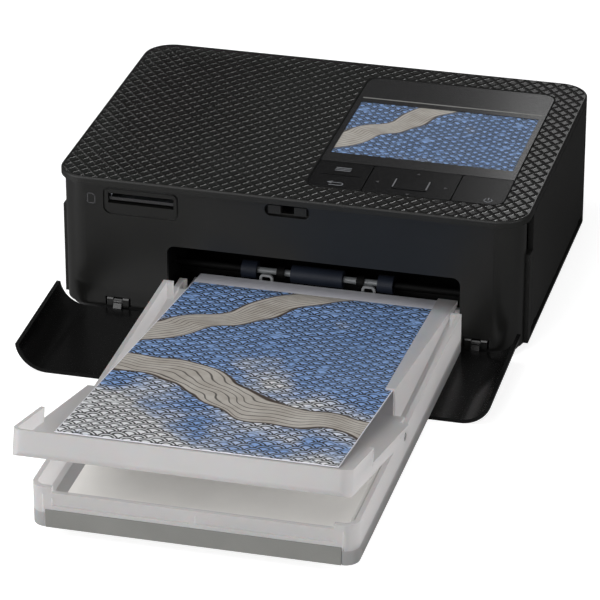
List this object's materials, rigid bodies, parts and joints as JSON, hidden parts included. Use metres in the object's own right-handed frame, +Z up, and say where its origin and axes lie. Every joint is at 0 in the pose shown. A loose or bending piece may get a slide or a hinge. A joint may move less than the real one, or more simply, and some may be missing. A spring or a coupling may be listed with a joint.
{
  "type": "compact photo printer",
  "caption": "Compact dye-sublimation photo printer, front cover open, paper cassette fitted, with a printed sheet on the raised output lid.",
  "frame": {"origin": "middle of the footprint of the whole object, on the table", "axes": "+X to the printer's right as its user sees it, +Y towards the back, away from the cassette, +Z up"},
  "size_m": [0.1822, 0.315, 0.0576],
  "materials": {
    "black_case": "satin, fine grain",
    "knurled_top": "moulded diamond pattern",
    "panel_gloss": "gloss",
    "display": "lit display behind gloss",
    "clear_grey": "cloudy translucent",
    "grey_plastic": "satin",
    "light_plastic": "satin",
    "rubber_dark": "ribbed",
    "steel": "brushed",
    "zinc_plate": "plated",
    "brass": "machined",
    "board_green": "solder mask",
    "ribbon": "film",
    "paper": "paper",
    "print_face": "glossy print"
  },
  "bodies": {
    "printer_body": {"base_pan": "black_case", "rubber_feet": "rubber_dark", "base_screws": "steel", "outer_case": "black_case", "front_panel": "black_case", "top_cover": "knurled_top", "control_panel": "panel_gloss", "lcd_display": "display", "panel_board": "board_green", "main_board": "board_green", "card_reader": "steel", "power_jack": "black_case", "usb_port": "steel", "left_frame_plate": "zinc_plate", "right_frame_plate": "zinc_plate", "frame_cross_bar": "zinc_plate", "paper_guide": "grey_plastic", "feed_motor": "zinc_plate", "head_pivot_rod": "steel", "ribbon_motor": "zinc_plate", "cartridge_shell": "black_case", "ink_door_pins": "steel", "front_cover_pins": "steel"},
    "menu_back_rocker": {"menu_back_key": "panel_gloss"},
    "nav_ring": {"nav_key": "panel_gloss"},
    "ok_button": {"ok_key": "panel_gloss"},
    "power_button": {"power_key": "panel_gloss"},
    "latch": {"latch_catch": "black_case"},
    "front_flap": {"front_cover": "black_case"},
    "cartridge_door": {"ink_door": "black_case"},
    "feed_shaft": {"feed_roller": "rubber_dark"},
    "idler": {"feed_idler_gear": "light_plastic"},
    "step_idler": {"capstan_idler_gear": "light_plastic"},
    "feed_pinion": {"feed_motor_pinion": "brass"},
    "platen": {"platen_roller": "rubber_dark"},
    "capstan": {"capstan_roller": "steel"},
    "pinch": {"pinch_roller": "rubber_dark"},
    "head": {"thermal_head": "zinc_plate"},
    "ribbon_drive": {"ribbon_drive_gear": "light_plastic"},
    "ribbon_motor_gear": {"ribbon_pinion": "brass"},
    "supply_reel": {"supply_spool": "ribbon"},
    "takeup_reel": {"takeup_spool": "ribbon"},
    "cassette": {"cassette_base": "grey_plastic", "cassette_case": "clear_grey", "cassette_grip": "grey_plastic", "inner_lid": "clear_grey"},
    "platform": {"paper_platform": "grey_plastic", "paper_stack": "paper"},
    "lid": {"output_lid": "clear_grey", "output_lid_pins": "steel"},
    "print": {"printed_sheet": "print_face"}
  },
  "joints": [
    {"name": "menu_back_press", "type": "slide", "parent": "printer_body", "child": "menu_back_rocker", "axis": [0, 0, -1], "range_m": [0, 0.0005], "stiffness_N_per_m": 600, "springref_m": -0.0008},
    {"name": "nav_press", "type": "slide", "parent": "printer_body", "child": "nav_ring", "axis": [0, 0, -1], "range_m": [0, 0.0005], "stiffness_N_per_m": 600, "springref_m": -0.0008},
    {"name": "ok_press", "type": "slide", "parent": "printer_body", "child": "ok_button", "axis": [0, 0, -1], "range_m": [0, 0.0005], "stiffness_N_per_m": 600, "springref_m": -0.0008},
    {"name": "power_press", "type": "slide", "parent": "printer_body", "child": "power_button", "axis": [0, 0, -1], "range_m": [0, 0.0005], "stiffness_N_per_m": 600, "springref_m": -0.0008},
    {"name": "latch_press", "type": "slide", "parent": "printer_body", "child": "latch", "axis": [0, 0, -1], "range_m": [0, 0.0005], "stiffness_N_per_m": 600, "springref_m": -0.0008},
    {"name": "front_cover_hinge", "type": "hinge", "parent": "printer_body", "child": "front_flap", "pos_m": [0, 0.02711, 0.0052], "axis": [-1, 0, 0], "range_deg": [0, 1.9]},
    {"name": "ink_door_hinge", "type": "hinge", "parent": "printer_body", "child": "cartridge_door", "pos_m": [0.0875, 0.09236, 0.0078], "axis": [0, 1, 0], "range_deg": [0, 85]},
    {"name": "feed_roller_spin", "type": "hinge", "parent": "printer_body", "child": "feed_shaft", "pos_m": [-0.0547, 0.05051, 0.0136], "axis": [1, 0, 0], "continuous": true},
    {"name": "idler_gear_spin", "type": "hinge", "parent": "printer_body", "child": "idler", "pos_m": [-0.0547, 0.07122, 0.0234], "axis": [1, 0, 0], "continuous": true},
    {"name": "feed_pinion_spin", "type": "hinge", "parent": "printer_body", "child": "feed_pinion", "pos_m": [-0.0547, 0.09201, 0.03097], "axis": [1, 0, 0], "continuous": true},
    {"name": "platen_roller_spin", "type": "hinge", "parent": "printer_body", "child": "platen", "pos_m": [-0.0547, 0.08851, 0.0096], "axis": [1, 0, 0], "continuous": true},
    {"name": "capstan_idler_spin", "type": "hinge", "parent": "printer_body", "child": "step_idler", "pos_m": [-0.0547, 0.09656, 0.0106], "axis": [1, 0, 0], "continuous": true},
    {"name": "capstan_roller_spin", "type": "hinge", "parent": "printer_body", "child": "capstan", "pos_m": [-0.0547, 0.10462, 0.0116], "axis": [1, 0, 0], "continuous": true},
    {"name": "pinch_roller_spin", "type": "hinge", "parent": "printer_body", "child": "pinch", "pos_m": [0.0098, 0.10462, 0.0164], "axis": [1, 0, 0], "continuous": true},
    {"name": "ribbon_drive_spin", "type": "hinge", "parent": "printer_body", "child": "ribbon_drive", "pos_m": [-0.0547, 0.11651, 0.0274], "axis": [1, 0, 0], "continuous": true},
    {"name": "ribbon_pinion_spin", "type": "hinge", "parent": "printer_body", "child": "ribbon_motor_gear", "pos_m": [-0.0547, 0.12678, 0.03382], "axis": [1, 0, 0], "continuous": true},
    {"name": "takeup_spool_spin", "type": "hinge", "parent": "printer_body", "child": "takeup_reel", "pos_m": [0.0098, 0.11651, 0.0274], "axis": [1, 0, 0], "continuous": true},
    {"name": "supply_spool_spin", "type": "hinge", "parent": "printer_body", "child": "supply_reel", "pos_m": [0.0098, 0.07051, 0.0274], "axis": [1, 0, 0], "continuous": true},
    {"name": "head_lift", "type": "hinge", "parent": "printer_body", "child": "head", "pos_m": [0.0098, 0.13251, 0.0415], "axis": [-1, 0, 0], "range_deg": [0, 4]},
    {"name": "cassette_pull", "type": "slide", "parent": "printer_body", "child": "cassette", "axis": [0, -1, 0], "range_m": [0, 0.024]},
    {"name": "platform_lift", "type": "hinge", "parent": "cassette", "child": "platform", "pos_m": [0.0106, -0.13449, 0.0062], "axis": [1, 0, 0], "range_deg": [0, 0.9]},
    {"name": "output_lid_hinge", "type": "hinge", "parent": "cassette", "child": "lid", "pos_m": [0.0106, -0.0709, 0.0164], "axis": [1, 0, 0], "range_deg": [0, 14.2]},
    {"name": "printed_sheet_drop", "type": "hinge", "parent": "cassette", "child": "print", "pos_m": [0.0109, 0.04431, 0.0121], "axis": [1, 0, 0], "range_deg": [0, 3.21]}
  ],
  "couplings": [
    {"joint": "idler_gear_spin", "follows": "feed_roller_spin", "ratio": -0.26667},
    {"joint": "feed_pinion_spin", "follows": "feed_roller_spin", "ratio": 1.2},
    {"joint": "platen_roller_spin", "follows": "feed_roller_spin", "ratio": 1.2},
    {"joint": "capstan_idler_spin", "follows": "feed_roller_spin", "ratio": -1.2},
    {"joint": "capstan_roller_spin", "follows": "feed_roller_spin", "ratio": 1.2},
    {"joint": "pinch_roller_spin", "follows": "feed_roller_spin", "ratio": -0.96},
    {"joint": "ribbon_pinion_spin", "follows": "ribbon_drive_spin", "ratio": -2},
    {"joint": "takeup_spool_spin", "follows": "ribbon_drive_spin", "ratio": 1},
    {"joint": "supply_spool_spin", "follows": "ribbon_drive_spin", "ratio": 0.7},
    {"joint": "printed_sheet_drop", "follows": "output_lid_hinge", "ratio": 0.226}
  ]
}
